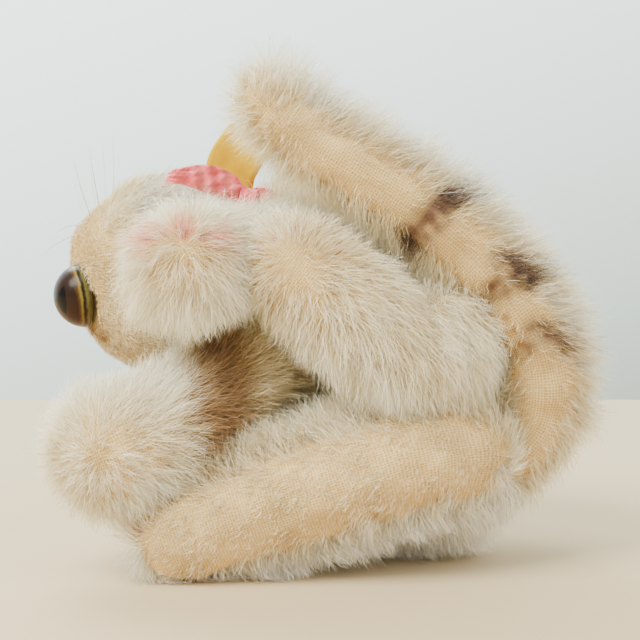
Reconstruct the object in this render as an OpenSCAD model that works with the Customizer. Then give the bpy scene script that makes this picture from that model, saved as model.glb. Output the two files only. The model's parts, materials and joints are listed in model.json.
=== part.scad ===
// A small stuffed cat lying on its right side, with its underside towards -Y and its face towards -X.
// Cloth covers are hollow sewn skins, each packed with wood wool. The pile of the cloth is not drawn here.

/* [Covers and stuffing] */
// Thickness of the backing cloth with its seam allowance
cloth_t = 0.9; // [0.7:0.1:1.2]
// Air left between a cover and what is inside it
stuffing_gap = 0.15; // [0.1:0.05:0.3]
// Clearance between sewn pieces that lie against each other
seam_gap = 0.25; // [0.2:0.05:0.4]

/* [Torso and tail] */
// Radius of the torso at its widest
torso_r = 19.5; // [18:0.5:20]
// Radius of the tail
tail_r = 6; // [5:0.5:6.5]

/* [Legs] */
// Radius of the front paws
front_paw_r = 9; // [8:0.5:9.5]
// Radius of the hind feet
hind_foot_r = 9.5; // [8.5:0.5:10]
// Length of a claw stitch
claw_l = 2.6; // [2:0.2:3]

/* [Head] */
// Radius of the skull
skull_r = 21; // [20.5:0.25:21.5]
// Radius of the muzzle
muzzle_r = 9.6; // [9:0.2:10.4]
// Height of an ear above its root
ear_h = 11; // [9:0.5:12]
// Width of an ear at its root
ear_w = 13; // [11:0.5:14]
// Length of a whisker
whisker_l = 15; // [10:1:17]

/* [Eyes] */
// Diameter of the glass eyes
eye_d = 13; // [12:0.25:13.5]
// Width of the slit pupil
pupil_w = 2.4; // [1.6:0.2:3]
// Height of the slit pupil
pupil_h = 6.4; // [5:0.2:7]

/* [Neck joint] */
// Radius of the cardboard joint discs
disc_r = 9; // [7:0.5:9.5]
// Thickness of the joint discs
disc_t = 1.4; // [1:0.2:1.8]
// Radius of the cotter pin's shank
pin_r = 1; // [0.8:0.1:1.2]
// Radial clearance of the pin in the head's disc and washer
pin_play = 0.08; // [0.05:0.01:0.1]

/* [Ribbon and label] */
// Width of the neck ribbon
ribbon_w = 4.6; // [3.6:0.2:4.8]
// Thickness of the ribbon
ribbon_t = 0.4; // [0.3:0.05:0.5]
// Length of one loop of the bow
loop_l = 13; // [11:0.5:14]
// Length of the folded label along its fold
label_h = 12.5; // [11:0.5:13]

/* [Hidden] */

// The layout below measures Y from the paws. This moves the origin to the middle of the cat's footprint.
origin_shift = [3, -25.2, 0];

// Centre lines of the stuffed pieces: x, y, z and the local radius.
torso_line = [
    [-4.2, 33.8, 56.2, 0.7 * torso_r],
    [6, 35, 48.5, 0.9 * torso_r],
    [17, 34, 41, torso_r],
    [28, 32, 35, torso_r]
];
tail_line = [
    [37, 15, 21, 1.05 * tail_r],
    [43, 14, 30, 1.1 * tail_r],
    [42, 12, 43, 1.1 * tail_r],
    [33, 10, 57, 1.1 * tail_r],
    [21, 9, 68, 1.1 * tail_r],
    [7, 8, 77, tail_r],
    [-4, 8, 84, 0.95 * tail_r],
    [-10, 8, 89, 0.8 * tail_r]
];
left_front_line = [
    [-25, 0, 60, 0.9 * front_paw_r],
    [-20, 10.3, 60, 0.85 * front_paw_r],
    [-4, 24.5, 58.5, 0.87 * front_paw_r]
];
right_front_line = [
    [-38.5, 1, 24.5, 1.2 * front_paw_r],
    [-28, 6, 29, front_paw_r],
    [-16, 15, 36, 0.9 * front_paw_r],
    [-6, 25, 44, 0.85 * front_paw_r]
];
left_hind_line = [
    [-5, 3, 59, 0.85 * hind_foot_r],
    [6, 3.5, 50.5, 0.95 * hind_foot_r],
    [16, 5, 42.5, 0.9 * hind_foot_r],
    [24, 14, 46, hind_foot_r],
    [17, 26, 56, 1.2 * hind_foot_r],
    [5, 31, 58, 1.1 * hind_foot_r]
];
right_hind_line = [
    [-26, 0, 8, 0.85 * hind_foot_r],
    [-12, 0.5, 13, 0.95 * hind_foot_r],
    [3, 1, 18, hind_foot_r],
    [17, 3, 22, hind_foot_r],
    [27, 9.5, 22, hind_foot_r],
    [24, 20, 16, 1.2 * hind_foot_r],
    [12, 29, 11.5, 1.45 * hind_foot_r],
    [-4, 31, 10.5, 1.35 * hind_foot_r]
];

// Neck joint: its centre, its axis out of the torso, and the skull's centre on that axis.
neck_at = [-13.4, 35.6, 55.5];
neck_axis = unit([-0.98, 0.19, -0.08]);
neck_reach = 17.8;
head_at = neck_at + neck_reach * neck_axis;
// Turn of the head from its own frame (x forward, y to its left, z to its crown) as it lies.
head_turn = [175, -1, 177];

// Places on the head, as azimuth to the side and elevation, in degrees.
eye_place = [31, 8];
eye_look = [22, 3];
ear_place = [117, 56];
eye_root = 19;
muzzle_at = [10.8, 0, -5];

// Inner radius of the ribbon round the neck.
ring_r = 13.6;
slices = 3;
limb_fn = 18;
torso_fn = 24;
flat_h = 200;

function unit(v) = v / norm(v);
function aim(azimuth, elevation) = [
    cos(azimuth) * cos(elevation),
    sin(azimuth) * cos(elevation),
    sin(elevation)
];
function xyz(p) = [p[0], p[1], p[2]];
function blend(a, b, c, d, t) = 0.5 * (
    2 * b + (c - a) * t
    + (2 * a - 5 * b + 4 * c - d) * t * t
    + (3 * b - a - 3 * c + d) * t * t * t
);
function clamped(line, i) = line[max(0, min(len(line) - 1, i))];
// A smooth run of stations through the points of a centre line.
function stations(line) = [
    for (i = [0 : len(line) - 2])
        for (k = [0 : slices - 1])
            blend(clamped(line, i - 1), line[i], line[i + 1], clamped(line, i + 2), k / slices),
    line[len(line) - 1]
];

// Turns +Z to the given direction.
module facing(v) {
    rotate([0, acos(v[2] / norm(v)), atan2(v[1], v[0])]) children();
}

// One cross-section of a stuffed piece, square to the centre line.
module slice(at, along, r, fn) {
    translate(at) facing(along) cylinder(r = r, h = 0.02, center = true, $fn = fn);
}

// A stuffed piece: neighbouring cross-sections joined in turn, with a round end at each end.
module stuffed(line, grow, fn) {
    s = stations(line);
    last = len(s) - 1;
    for (i = [0 : last - 1]) {
        hull() {
            slice(xyz(s[i]), xyz(s[min(last, i + 1)] - s[max(0, i - 1)]), s[i][3] + grow, fn);
            slice(xyz(s[i + 1]), xyz(s[min(last, i + 2)] - s[i]), s[i + 1][3] + grow, fn);
        }
    }
    round_end(s[0], s[0] - s[1], grow, fn);
    round_end(s[last], s[last] - s[last - 1], grow, fn);
}

module round_end(station, out, grow, fn) {
    r = station[3] + grow;
    translate(xyz(station)) facing(xyz(out)) intersection() {
        sphere(r = r, $fn = fn);
        translate([-r, -r, -0.3]) cube([2 * r, 2 * r, r + 0.3]);
    }
}

// Everything above the surface that the cat lies on.
module above_floor(grow) {
    translate([-flat_h / 2, -flat_h / 2, -grow]) cube(flat_h);
}

// Everything on the head's side of the neck joint, from the given distance.
module past_neck(distance) {
    translate(neck_at + distance * neck_axis) facing(neck_axis)
        cylinder(r = flat_h / 4, h = flat_h / 4, $fn = 24);
}

// What the ribbon ties in round the neck.
module neck_groove(grow) {
    translate(neck_at + (0.6 - ribbon_w - seam_gap + grow) * neck_axis) facing(neck_axis) difference() {
        cylinder(r = 2 * torso_r, h = 20, $fn = 24);
        translate([0, 0, -1]) cylinder(r = ring_r - seam_gap + grow, h = 22, $fn = 48);
    }
}

// The torso with its tied neck and flat neck end, larger by grow.
module torso_form(grow) {
    difference() {
        stuffed(torso_line, grow, torso_fn);
        past_neck(-seam_gap / 2 + grow);
        neck_groove(grow);
    }
}

// The hole for the cotter pin through the neck.
module neck_hole(r) {
    translate(neck_at) facing(neck_axis) cylinder(r = r, h = 12, center = true, $fn = 24);
}

// A leg or the tail: its outline resting on the floor, larger by grow.
module limb_form(line, grow) {
    intersection() {
        stuffed(line, grow, limb_fn);
        above_floor(grow);
    }
}

// The sewn cover of a limb, open where it is sewn to the torso.
module limb_cover(line) {
    difference() {
        limb_form(line, 0);
        limb_form(line, -cloth_t);
        torso_form(seam_gap);
        children();
    }
}

module limb_stuffing(line) {
    difference() {
        limb_form(line, -cloth_t - stuffing_gap);
        torso_form(seam_gap + stuffing_gap);
        children();
    }
}

module body_cover() {
    color("wheat") placed() difference() {
        torso_form(0);
        torso_form(-cloth_t);
        neck_hole(pin_r + 0.6);
    }
}

module body_stuffing() {
    color("tan") placed() difference() {
        torso_form(-cloth_t - stuffing_gap);
        // Room for the joint disc, its washer and the turned ends of the pin.
        translate(neck_at - 8.6 * neck_axis) facing(neck_axis) cylinder(r = disc_r + 0.4, h = 12, $fn = 32);
    }
}

// The shoulders give way to the ribbon round the neck.
module neck_room() {
    translate(neck_at + (0.6 - ribbon_w - seam_gap) * neck_axis) facing(neck_axis)
        cylinder(r = ring_r + ribbon_t + seam_gap, h = 20, $fn = 48);
}
// The left front leg also gives way where the left hind foot presses against it.
module left_front_neighbours(gap) {
    neck_room();
    limb_form(left_hind_line, gap);
}
module left_front_leg_cover() {
    color("wheat") placed() limb_cover(left_front_line) left_front_neighbours(seam_gap);
}
module left_front_leg_stuffing() {
    color("tan") placed() limb_stuffing(left_front_line) left_front_neighbours(seam_gap + stuffing_gap);
}
module right_front_leg_cover() { color("wheat") placed() limb_cover(right_front_line) neck_room(); }
module right_front_leg_stuffing() { color("tan") placed() limb_stuffing(right_front_line) neck_room(); }
module left_hind_leg_cover() { color("wheat") placed() limb_cover(left_hind_line); }
module left_hind_leg_stuffing() { color("tan") placed() limb_stuffing(left_hind_line); }

// The right hind leg gives way where the left one and the right front leg press against it.
module right_hind_neighbours(gap) {
    limb_form(left_hind_line, gap);
    limb_form(right_front_line, gap);
}
module right_hind_leg_cover() {
    color("wheat") placed() limb_cover(right_hind_line) right_hind_neighbours(seam_gap);
}
module right_hind_leg_stuffing() {
    color("tan") placed() limb_stuffing(right_hind_line) right_hind_neighbours(seam_gap + stuffing_gap);
}

module tail_neighbours(gap) {
    limb_form(left_hind_line, gap);
    limb_form(right_hind_line, gap);
}
module tail_cover() { color("wheat") placed() limb_cover(tail_line) tail_neighbours(seam_gap); }
module tail_stuffing() {
    color("tan") placed() limb_stuffing(tail_line) tail_neighbours(seam_gap + stuffing_gap);
}

// Three thread claws fanned over the end of a paw, along the toe direction.
module claws(line, toe, spread, r) {
    for (side = [-1, 0, 1]) {
        dir = unit(toe + 0.45 * side * spread);
        lie = unit(cross(cross(dir, -[0, 1, 0]), dir));
        translate(xyz(line[0]) + (line[0][3] + r + 0.1) * dir) facing(lie)
            cylinder(r = r, h = claw_l, center = true, $fn = 16);
    }
}

thread_r = 0.3;
module left_front_claws() {
    color("lightpink") placed() claws(left_front_line, [0, -0.7, 0.7], [1, 0, 0], thread_r);
}
module right_front_claws() {
    color("lightpink") placed() claws(right_front_line, [-0.85, -0.35, -0.35], [0, 0.3, 1], thread_r);
}
module left_hind_claws() {
    color("lightpink") placed() claws(left_hind_line, [-0.4, -0.65, 0.65], [1, 0, 0.5], thread_r);
}
module right_hind_claws() {
    color("lightpink") placed() claws(right_hind_line, [-0.95, 0.1, 0.25], [0, 1, 0], thread_r);
}

// Hand stitches that close the torso between the hind legs and the tail.
module closing_seam() {
    stitches = 5;
    color("beige") placed() for (i = [0 : stitches - 1]) {
        out = unit([0.09 * i, -1, -0.12]);
        translate([28, 32, 35] + (torso_r + 0.4) * out) facing([0.25, 0, 1])
            cylinder(r = 0.25, h = 2, center = true, $fn = 16);
    }
}

// Round the neck, held on the torso's side of the joint.
module neck_ribbon() {
    color("palevioletred") placed() translate(neck_at + 0.6 * neck_axis) facing(-neck_axis) difference() {
        cylinder(r = ring_r + ribbon_t, h = ribbon_w, $fn = 64);
        translate([0, 0, -1]) cylinder(r = ring_r, h = ribbon_w + 2, $fn = 64);
    }
}

bow_at = [-14.5, 27, 70.4];
// Where the two loops of the bow point: over the throat, and back over the left shoulder.
bow_over_throat = [-0.92, -0.24, 0.32];
bow_over_shoulder = [0.93, -0.36, -0.05];
// Turns +X to the given direction and keeps +Y level.
module pointing(v) {
    rotate([0, -asin(v[2] / norm(v)), atan2(v[1], v[0])]) children();
}
// One loop of the bow: a flattened ring of ribbon, drawn along +X from the knot.
module bow_loop(length) {
    end_r = 1.9;
    linear_extrude(height = ribbon_w - 0.6, center = true) difference() {
        hull() {
            circle(r = 0.6, $fn = 24);
            translate([length - end_r, 0]) circle(r = end_r, $fn = 24);
        }
        hull() {
            translate([2.5, 0]) circle(r = 0.2, $fn = 24);
            translate([length - end_r, 0]) circle(r = end_r - ribbon_t, $fn = 24);
        }
    }
}
module ribbon_bow() {
    color("palevioletred") placed() translate(bow_at) union() {
        pointing(bow_over_throat) bow_loop(1.25 * loop_l);
        pointing(bow_over_shoulder) bow_loop(0.8 * loop_l);
        cylinder(r = 1.8, h = ribbon_w - 0.2, center = true, $fn = 32);
    }
}

// A folded strip of cloth that stands up from the ribbon. Its fold is the edge over the head.
label_at = [-23.6, 38.6, 74.4];
module neck_label() {
    fold_r = 0.9;
    leaf_t = 0.3;
    leaf_w = 10.5;
    color("gold") placed() translate(label_at) rotate([-3, 25, 0]) union() {
        for (side = [-1, 1]) {
            translate([fold_r, side * (fold_r - leaf_t / 2) - leaf_t / 2, 0])
                cube([leaf_w - fold_r, leaf_t, label_h]);
        }
        translate([fold_r, 0, 0]) difference() {
            cylinder(r = fold_r, h = label_h, $fn = 32);
            translate([0, 0, -1]) cylinder(r = fold_r - leaf_t, h = label_h + 2, $fn = 32);
            translate([0, -5, -1]) cube([10, 10, label_h + 2]);
        }
    }
}

// Neck joint, along the neck axis from the inside of the torso to the inside of the head.
joint_gap = 0.1;
disc_from = cloth_t + seam_gap / 2 + joint_gap;
washer_r = 4;
washer_t = 0.5;
module joint_ring(outer, inner, from, thickness) {
    translate(neck_at + from * neck_axis) facing(neck_axis) difference() {
        cylinder(r = outer, h = thickness, $fn = 64);
        translate([0, 0, -1]) cylinder(r = inner, h = thickness + 2, $fn = 48);
    }
}
module body_joint_disc() {
    color("burlywood") placed() joint_ring(disc_r, pin_r, -disc_from - disc_t, disc_t);
}
module body_joint_washer() {
    color("silver") placed() joint_ring(washer_r, pin_r, -disc_from - disc_t - joint_gap - washer_t, washer_t);
}
module head_joint_disc() {
    color("burlywood") placed() joint_ring(disc_r, pin_r + pin_play, disc_from, disc_t);
}
module head_joint_washer() {
    color("silver") placed()
        joint_ring(washer_r, pin_r + pin_play, disc_from + disc_t + joint_gap, washer_t);
}
// A split pin: an eye in the head, a shank through the discs, and two ends curled over inside the torso.
module cotter_pin() {
    stack = disc_from + disc_t + joint_gap + washer_t;
    eye_r = 1.5;
    wire_r = 0.6;
    color("slategray") placed() translate(neck_at) facing(neck_axis) union() {
        translate([0, 0, -stack - 0.8]) cylinder(r = pin_r, h = 2 * stack + 1.8, $fn = 32);
        translate([0, 0, stack + 1 + eye_r]) rotate([90, 0, 0])
            rotate_extrude($fn = 48) translate([eye_r, 0]) circle(r = wire_r, $fn = 24);
        for (side = [0, 180]) {
            rotate([0, 0, side]) translate([2.1, 0, -stack - 0.9]) rotate([90, 0, 0])
                rotate_extrude(angle = -230, start = 180, $fn = 48)
                translate([1.5, 0]) circle(r = wire_r, $fn = 24);
        }
    }
}

// Moves what is drawn in the head's own frame to where the head lies.
module on_head() {
    translate(head_at) rotate(head_turn) children();
}

// The skull and muzzle, larger by grow, in the head's own frame.
module head_solid(grow) {
    sphere(r = skull_r + grow, $fn = 64);
    translate(muzzle_at) sphere(r = muzzle_r + grow, $fn = 48);
}
module head_form(grow) {
    intersection() {
        on_head() head_solid(grow);
        past_neck(seam_gap / 2 - grow);
    }
}

// Places a child at an eye's root, looking out along +Z. side is 1 for the left eye and -1 for the right.
module at_eye(side) {
    translate(eye_root * aim(side * eye_place[0], eye_place[1]))
        facing(aim(side * eye_look[0], eye_look[1])) rotate([0, 0, 90]) children();
}
module eye_pockets(depth, r) {
    for (side = [-1, 1]) on_head() at_eye(side) translate([0, 0, -depth]) cylinder(r = r, h = 20, $fn = 48);
}

module head_cover() {
    color("wheat") placed() difference() {
        head_form(0);
        head_form(-cloth_t);
        eye_pockets(0.2, eye_d / 2 + 0.1);
        neck_hole(pin_r + 0.6);
    }
}
module head_stuffing() {
    color("tan") placed() difference() {
        head_form(-cloth_t - stuffing_gap);
        eye_pockets(6.5, eye_d / 2 + 0.1);
        // Room for the joint disc, its washer and the eye of the pin.
        translate(neck_at) facing(neck_axis) cylinder(r = disc_r + 0.4, h = 9, $fn = 64);
    }
}

// An ear's outline: a rounded triangle with its root at the origin.
module ear_outline(inset) {
    hull() {
        for (side = [-1, 1]) translate([side * (ear_w / 2 - 1.5), -2]) circle(r = 1.5 - inset, $fn = 24);
        translate([0, ear_h - 1.6]) circle(r = 1.6 - inset, $fn = 24);
    }
}
module ear_layer(side, from, thickness, inset) {
    difference() {
        translate((skull_r - 0.8) * aim(side * ear_place[0], ear_place[1]))
            facing(aim(side * ear_place[0], ear_place[1])) rotate([90, 0, 90 - side * 96])
            translate([0, 0, from]) linear_extrude(height = thickness) ear_outline(inset);
        sphere(r = skull_r + 0.1, $fn = 64);
    }
}
module left_ear_back() { color("tan") placed() on_head() ear_layer(1, 0, 1.1, 0); }
module left_ear_lining() { color("mistyrose") placed() on_head() ear_layer(1, 1.2, 0.6, 0.4); }
module right_ear_back() { color("tan") placed() on_head() ear_layer(-1, 0, 1.1, 0); }
module right_ear_lining() { color("mistyrose") placed() on_head() ear_layer(-1, 1.2, 0.6, 0.4); }

// Two arcs that meet in a point above and below.
module slit(width, height, thickness) {
    arc_r = (height * height / 4 + width * width / 4) / width;
    intersection_for (side = [-1, 1])
        translate([side * (arc_r - width / 2), 0, 0]) cylinder(r = arc_r, h = thickness, $fn = 96);
}
enamel_t = 0.35;
pupil_t = 0.3;
module eye_glass() {
    difference() {
        sphere(r = eye_d / 2, $fn = 64);
        translate([-10, -10, -20 + enamel_t + 0.1]) cube(20);
        translate([0, 0, -1]) slit(pupil_w + 0.1, pupil_h + 0.1, 1 + enamel_t + pupil_t + 0.2);
    }
}
module eye_enamel() { cylinder(r = eye_d / 2 - 0.05, h = enamel_t, $fn = 64); }
module eye_pupil() { translate([0, 0, enamel_t + 0.02]) slit(pupil_w, pupil_h, pupil_t); }
// The wire loop behind the eye.
module eye_shank() {
    translate([0, 0, -3.2]) rotate([90, 0, 0])
        rotate_extrude($fn = 48) translate([2.3, 0]) circle(r = 0.45, $fn = 20);
}
module left_eye_glass() { color("darkolivegreen") placed() on_head() at_eye(1) eye_glass(); }
module left_eye_enamel() { color("goldenrod") placed() on_head() at_eye(1) eye_enamel(); }
module left_eye_pupil() { color("black") placed() on_head() at_eye(1) eye_pupil(); }
module left_eye_shank() { color("dimgray") placed() on_head() at_eye(1) eye_shank(); }
module right_eye_glass() { color("darkolivegreen") placed() on_head() at_eye(-1) eye_glass(); }
module right_eye_enamel() { color("goldenrod") placed() on_head() at_eye(-1) eye_enamel(); }
module right_eye_pupil() { color("black") placed() on_head() at_eye(-1) eye_pupil(); }
module right_eye_shank() { color("dimgray") placed() on_head() at_eye(-1) eye_shank(); }

// How far the head's skin is from its middle in the direction d, in its own frame.
function face_reach(d) =
    let (along = d * muzzle_at, under = along * along - muzzle_at * muzzle_at + muzzle_r * muzzle_r)
    max(skull_r, under > 0 ? along + sqrt(under) : 0);
function on_face(azimuth, elevation, lift) = let (d = aim(azimuth, elevation)) (face_reach(d) + lift) * d;

// A thread laid straight between two points of the face, given as azimuth and elevation.
module face_thread(from, to, r) {
    lift = r + 0.15;
    a = on_face(from[0], from[1], lift);
    b = on_face(to[0], to[1], lift);
    translate(a) facing(b - a) cylinder(r = r, h = norm(b - a), $fn = 16);
}

// Satin stitches side by side, longest in the middle.
module nose_stitching() {
    color("lightpink") placed() on_head() for (i = [-3 : 3]) {
        half = 3.4 - 0.35 * abs(i);
        face_thread([1.4 * i, -5 - half], [1.4 * i, -5 + half], 0.24);
    }
}
// One stitch down from the nose and two that turn out to the cheeks.
module mouth_stitching() {
    color("lightpink") placed() on_head() union() {
        face_thread([0, -10], [0, -16], 0.2);
        for (side = [-1, 1]) face_thread([side * 2, -18.5], [side * 9, -22], 0.2);
    }
}

// Stiff hairs from one cheek. side is 1 for the left and -1 for the right.
module whiskers(side) {
    whisker_r = 0.13;
    for (i = [0 : 3]) {
        translate(on_face(side * (17 + 3 * i), -26 - 5 * i, 0.25))
            facing(aim(side * (70 + 6 * i), -2 - 16 * i))
            cylinder(r = whisker_r, h = whisker_l - i, $fn = 16);
    }
}
module left_whiskers() { color("ivory") placed() on_head() whiskers(1); }
module right_whiskers() { color("ivory") placed() on_head() whiskers(-1); }

module placed() {
    translate(origin_shift) children();
}

body_cover();
body_stuffing();
left_front_leg_cover();
left_front_leg_stuffing();
right_front_leg_cover();
right_front_leg_stuffing();
left_hind_leg_cover();
left_hind_leg_stuffing();
right_hind_leg_cover();
right_hind_leg_stuffing();
tail_cover();
tail_stuffing();
left_front_claws();
right_front_claws();
left_hind_claws();
right_hind_claws();
closing_seam();
neck_ribbon();
ribbon_bow();
neck_label();
body_joint_disc();
body_joint_washer();
cotter_pin();
head_cover();
head_stuffing();
left_ear_back();
left_ear_lining();
right_ear_back();
right_ear_lining();
left_eye_glass();
left_eye_enamel();
left_eye_pupil();
left_eye_shank();
right_eye_glass();
right_eye_enamel();
right_eye_pupil();
right_eye_shank();
nose_stitching();
mouth_stitching();
left_whiskers();
right_whiskers();
head_joint_disc();
head_joint_washer();
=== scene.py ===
"""Looks of a small mohair cat that lies on its right side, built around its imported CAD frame.

Lengths are millimetres in the cat's own layout, where Y is measured from the paws, until row() turns them
into metres in the frame. The head has its own frame: x forward, y to its left, z to its crown."""

import json
from math import acos, atan2, ceil, cos, degrees, pi, radians, sin
from types import SimpleNamespace

import bpy
import numpy as np
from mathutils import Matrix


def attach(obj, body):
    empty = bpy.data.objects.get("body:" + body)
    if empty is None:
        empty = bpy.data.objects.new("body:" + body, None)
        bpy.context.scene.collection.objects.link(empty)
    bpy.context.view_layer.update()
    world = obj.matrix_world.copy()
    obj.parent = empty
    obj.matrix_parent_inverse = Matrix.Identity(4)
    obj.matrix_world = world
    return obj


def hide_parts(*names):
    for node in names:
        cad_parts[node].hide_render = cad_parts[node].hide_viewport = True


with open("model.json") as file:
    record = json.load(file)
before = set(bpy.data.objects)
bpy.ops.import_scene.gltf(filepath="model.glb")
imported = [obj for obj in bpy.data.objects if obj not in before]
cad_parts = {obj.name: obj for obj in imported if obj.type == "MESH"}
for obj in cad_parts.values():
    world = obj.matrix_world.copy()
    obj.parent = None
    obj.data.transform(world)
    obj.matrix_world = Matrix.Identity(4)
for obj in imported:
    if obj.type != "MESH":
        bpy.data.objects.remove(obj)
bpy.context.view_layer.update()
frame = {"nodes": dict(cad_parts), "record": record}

MM = 0.001
SIDES = {"left": 1, "right": -1}


# ---- vectors and fields
def size_of(v):
    return np.linalg.norm(v, axis=-1)


def unit(v):
    v = np.asarray(v, float)
    return v / np.maximum(size_of(v)[..., None], 1e-9)


def dot(a, b):
    return (a * b).sum(-1)


def turned(x, y, z):
    """The matrix that turns by x, then y, then z degrees about the fixed axes."""
    angles = [radians(angle) for angle in (x, y, z)]
    (a, b, c), (u, v, w) = map(cos, angles), map(sin, angles)
    rx = np.array([[1, 0, 0], [0, a, -u], [0, u, a]])
    ry = np.array([[b, 0, v], [0, 1, 0], [-v, 0, b]])
    rz = np.array([[c, -w, 0], [w, c, 0], [0, 0, 1]])
    return rz @ ry @ rx


WAVES, WAVES_PEAK = 7, 2.6


def field(p, size, seed):
    """A smooth random field at the points p, mostly within -1 to 1, with features about size across."""
    rng = np.random.default_rng(seed)
    total = np.zeros(len(p))
    for _ in range(WAVES):
        wave = unit(rng.normal(size=3)) * 2 * pi / size * rng.uniform(0.6, 1.5)
        total += np.sin(p @ wave + rng.uniform(0, 2 * pi))
    return total / WAVES_PEAK


def ease(x, low, high):
    """Rises smoothly from 0 at low to 1 at high."""
    t = np.clip((x - low) / (high - low), 0, 1)
    return t * t * (3 - 2 * t)


def near(p, spots):
    """How close each point is to the nearest spot: 1 at its middle. Spots are rows of x, y, z and radius."""
    best = np.zeros(len(p))
    for x, y, z, r in spots:
        best = np.maximum(best, np.exp(-((p - [x, y, z]) ** 2).sum(1) / (r * r)))
    return best


def full_turn(count):
    return 2 * pi * np.arange(count) / count


def distances(rows):
    """How far along a line, or along a grid of rings, each of its rows is."""
    steps = size_of(np.diff(rows, axis=0))
    return np.concatenate([[0], np.cumsum(steps if steps.ndim == 1 else steps.mean(1))])


DOWN = np.array([0, 0, -1.0])
NECK = np.array([-13.4, 35.6, 55.5])
NECK_AXIS = unit([-0.98, 0.19, -0.08])
JOINT = frame["record"]["behaviour"]["joints"][0]
SHIFT = np.array(JOINT["pos_m"]) / MM - NECK
HEAD = NECK + 17.8 * NECK_AXIS
HEAD_TURN = turned(175, -1, 177)


def row(points):
    """Points of the layout, as metres in the frame."""
    return (np.asarray(points, float) + SHIFT) * MM


def lying(points):
    """Points of the head's own frame, in the layout."""
    return HEAD + np.asarray(points, float) @ HEAD_TURN.T


def upright(points):
    """Points of the layout, in the head's own frame."""
    return (np.asarray(points, float) - HEAD) @ HEAD_TURN


def aim(azimuth, elevation):
    """The direction at those degrees in the head's own frame."""
    a, e = radians(azimuth), radians(elevation)
    return np.array([cos(a) * cos(e), sin(a) * cos(e), sin(e)])


# ---- surfaces
def smooth_line(points, step):
    """Catmull-Rom stations about every step through the rows of a centre line."""
    pts = np.array(points, float)
    wide = np.vstack([pts[:1], pts, pts[-1:]])
    out = []
    for a, b, c, d in zip(wide, wide[1:], wide[2:], wide[3:]):
        n = max(2, int(np.ceil(size_of((c - b)[:3]) / step)))
        t = (np.arange(n) / n)[:, None]
        bend, twist = 2 * a - 5 * b + 4 * c - d, 3 * b - a - 3 * c + d
        out.append(0.5 * (2 * b + (c - a) * t + bend * t**2 + twist * t**3))
    return np.vstack(out + [pts[-1:]])


class Surface:
    """A round-ended skin as a grid: rings along it, and points round each ring. The blobs, as rows of x, y, z
    and radius, fill it roughly."""

    def __init__(self, grid, blobs):
        self.grid, self.blobs = grid, blobs
        down = np.gradient(grid, axis=0)
        wrapped = np.concatenate([grid[:, -1:], grid, grid[:, :1]], axis=1)
        across = (wrapped[:, 2:] - wrapped[:, :-2]) / 2
        self.along, self.around = unit(down), unit(across)
        self.normal = unit(np.cross(self.around, self.along))
        middle = grid.mean(axis=1, keepdims=True)
        if ((grid - middle) * self.normal).sum() < 0:
            self.normal = -self.normal
        a, b = grid[:-1], np.roll(grid, -1, axis=1)[:-1]
        c, d = np.roll(grid, -1, axis=1)[1:], grid[1:]
        self.cells = size_of(np.cross(c - a, d - b)) / 2
        self.arc = distances(grid)

    def sample(self, per_mm2, rng):
        """Random points of even density, with the surface's directions there, the angle from the first spoke
        and how far along the surface they are."""
        rings, spokes = self.cells.shape
        weight = self.cells.ravel() / self.cells.sum()
        count = int(self.cells.sum() * per_mm2)
        cell = rng.choice(weight.size, size=count, p=weight)
        i, j = cell // spokes, cell % spokes
        u, v = rng.random(count)[:, None], rng.random(count)[:, None]
        k = (j + 1) % spokes

        def mixed(a):
            return (a[i, j] * (1 - u) + a[i, k] * u) * (1 - v) + (a[i + 1, j] * (1 - u) + a[i + 1, k] * u) * v

        theta = 2 * pi * (j + u[:, 0]) / spokes
        return SimpleNamespace(
            p=mixed(self.grid), n=unit(mixed(self.normal)), along=unit(mixed(self.along)),
            around=unit(mixed(self.around)), theta=np.where(theta > pi, theta - 2 * pi, theta),
            arc=self.arc[i] * (1 - v[:, 0]) + self.arc[i + 1] * v[:, 0],
        )


STATION = 0.8  # between the rings of a stuffed part
CAP_RINGS = np.radians(np.arange(84, 4, -8))


def sweep(points, seed, spokes=64, lumps=0.3):
    """A stuffed tube along a centre line. Its first spoke faces the viewer, where its seam runs."""
    line = smooth_line(points, STATION)
    centre, radius = line[:, :3], line[:, 3]
    tangent = unit(np.gradient(centre, axis=0))

    def cap(end, way, rises):
        c, r, t = centre[end], radius[end], tangent[end]
        return [(c + way * t * r * sin(a), r * cos(a), t) for a in rises]

    rings = cap(0, -1, CAP_RINGS) + list(zip(centre, radius, tangent)) + cap(-1, 1, CAP_RINGS[::-1])
    spoke = np.array([0, -1, 0], float)
    angles = full_turn(spokes)[:, None]
    grid = []
    for c, r, t in rings:
        spoke = unit(spoke - t * (spoke @ t))
        grid.append(c + r * (np.cos(angles) * spoke + np.sin(angles) * np.cross(t, spoke)))
    grid = np.array(grid)
    middle = np.array([c for c, _, _ in rings])[:, None, :]
    flat = grid.reshape(-1, 3)
    bump = field(flat, 7, seed) * lumps + field(flat, 2.6, seed + 1) * lumps * 0.3
    grid += unit(grid - middle) * bump.reshape(len(grid), spokes, 1)
    grid[..., 2] = np.maximum(grid[..., 2], 0)
    return Surface(grid, line)


POINTS_AT_ONCE = 20000


def buried(p, surfaces, slack):
    """Which points lie deeper than slack inside any of the surfaces."""
    found = np.zeros(len(p), bool)
    for s in surfaces:
        for start in range(0, len(p), POINTS_AT_ONCE):
            part = slice(start, start + POINTS_AT_ONCE)
            gap = size_of(p[part, None] - s.blobs[None, :, :3]) - s.blobs[None, :, 3]
            found[part] |= gap.min(1) < -slack
    return found


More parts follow.
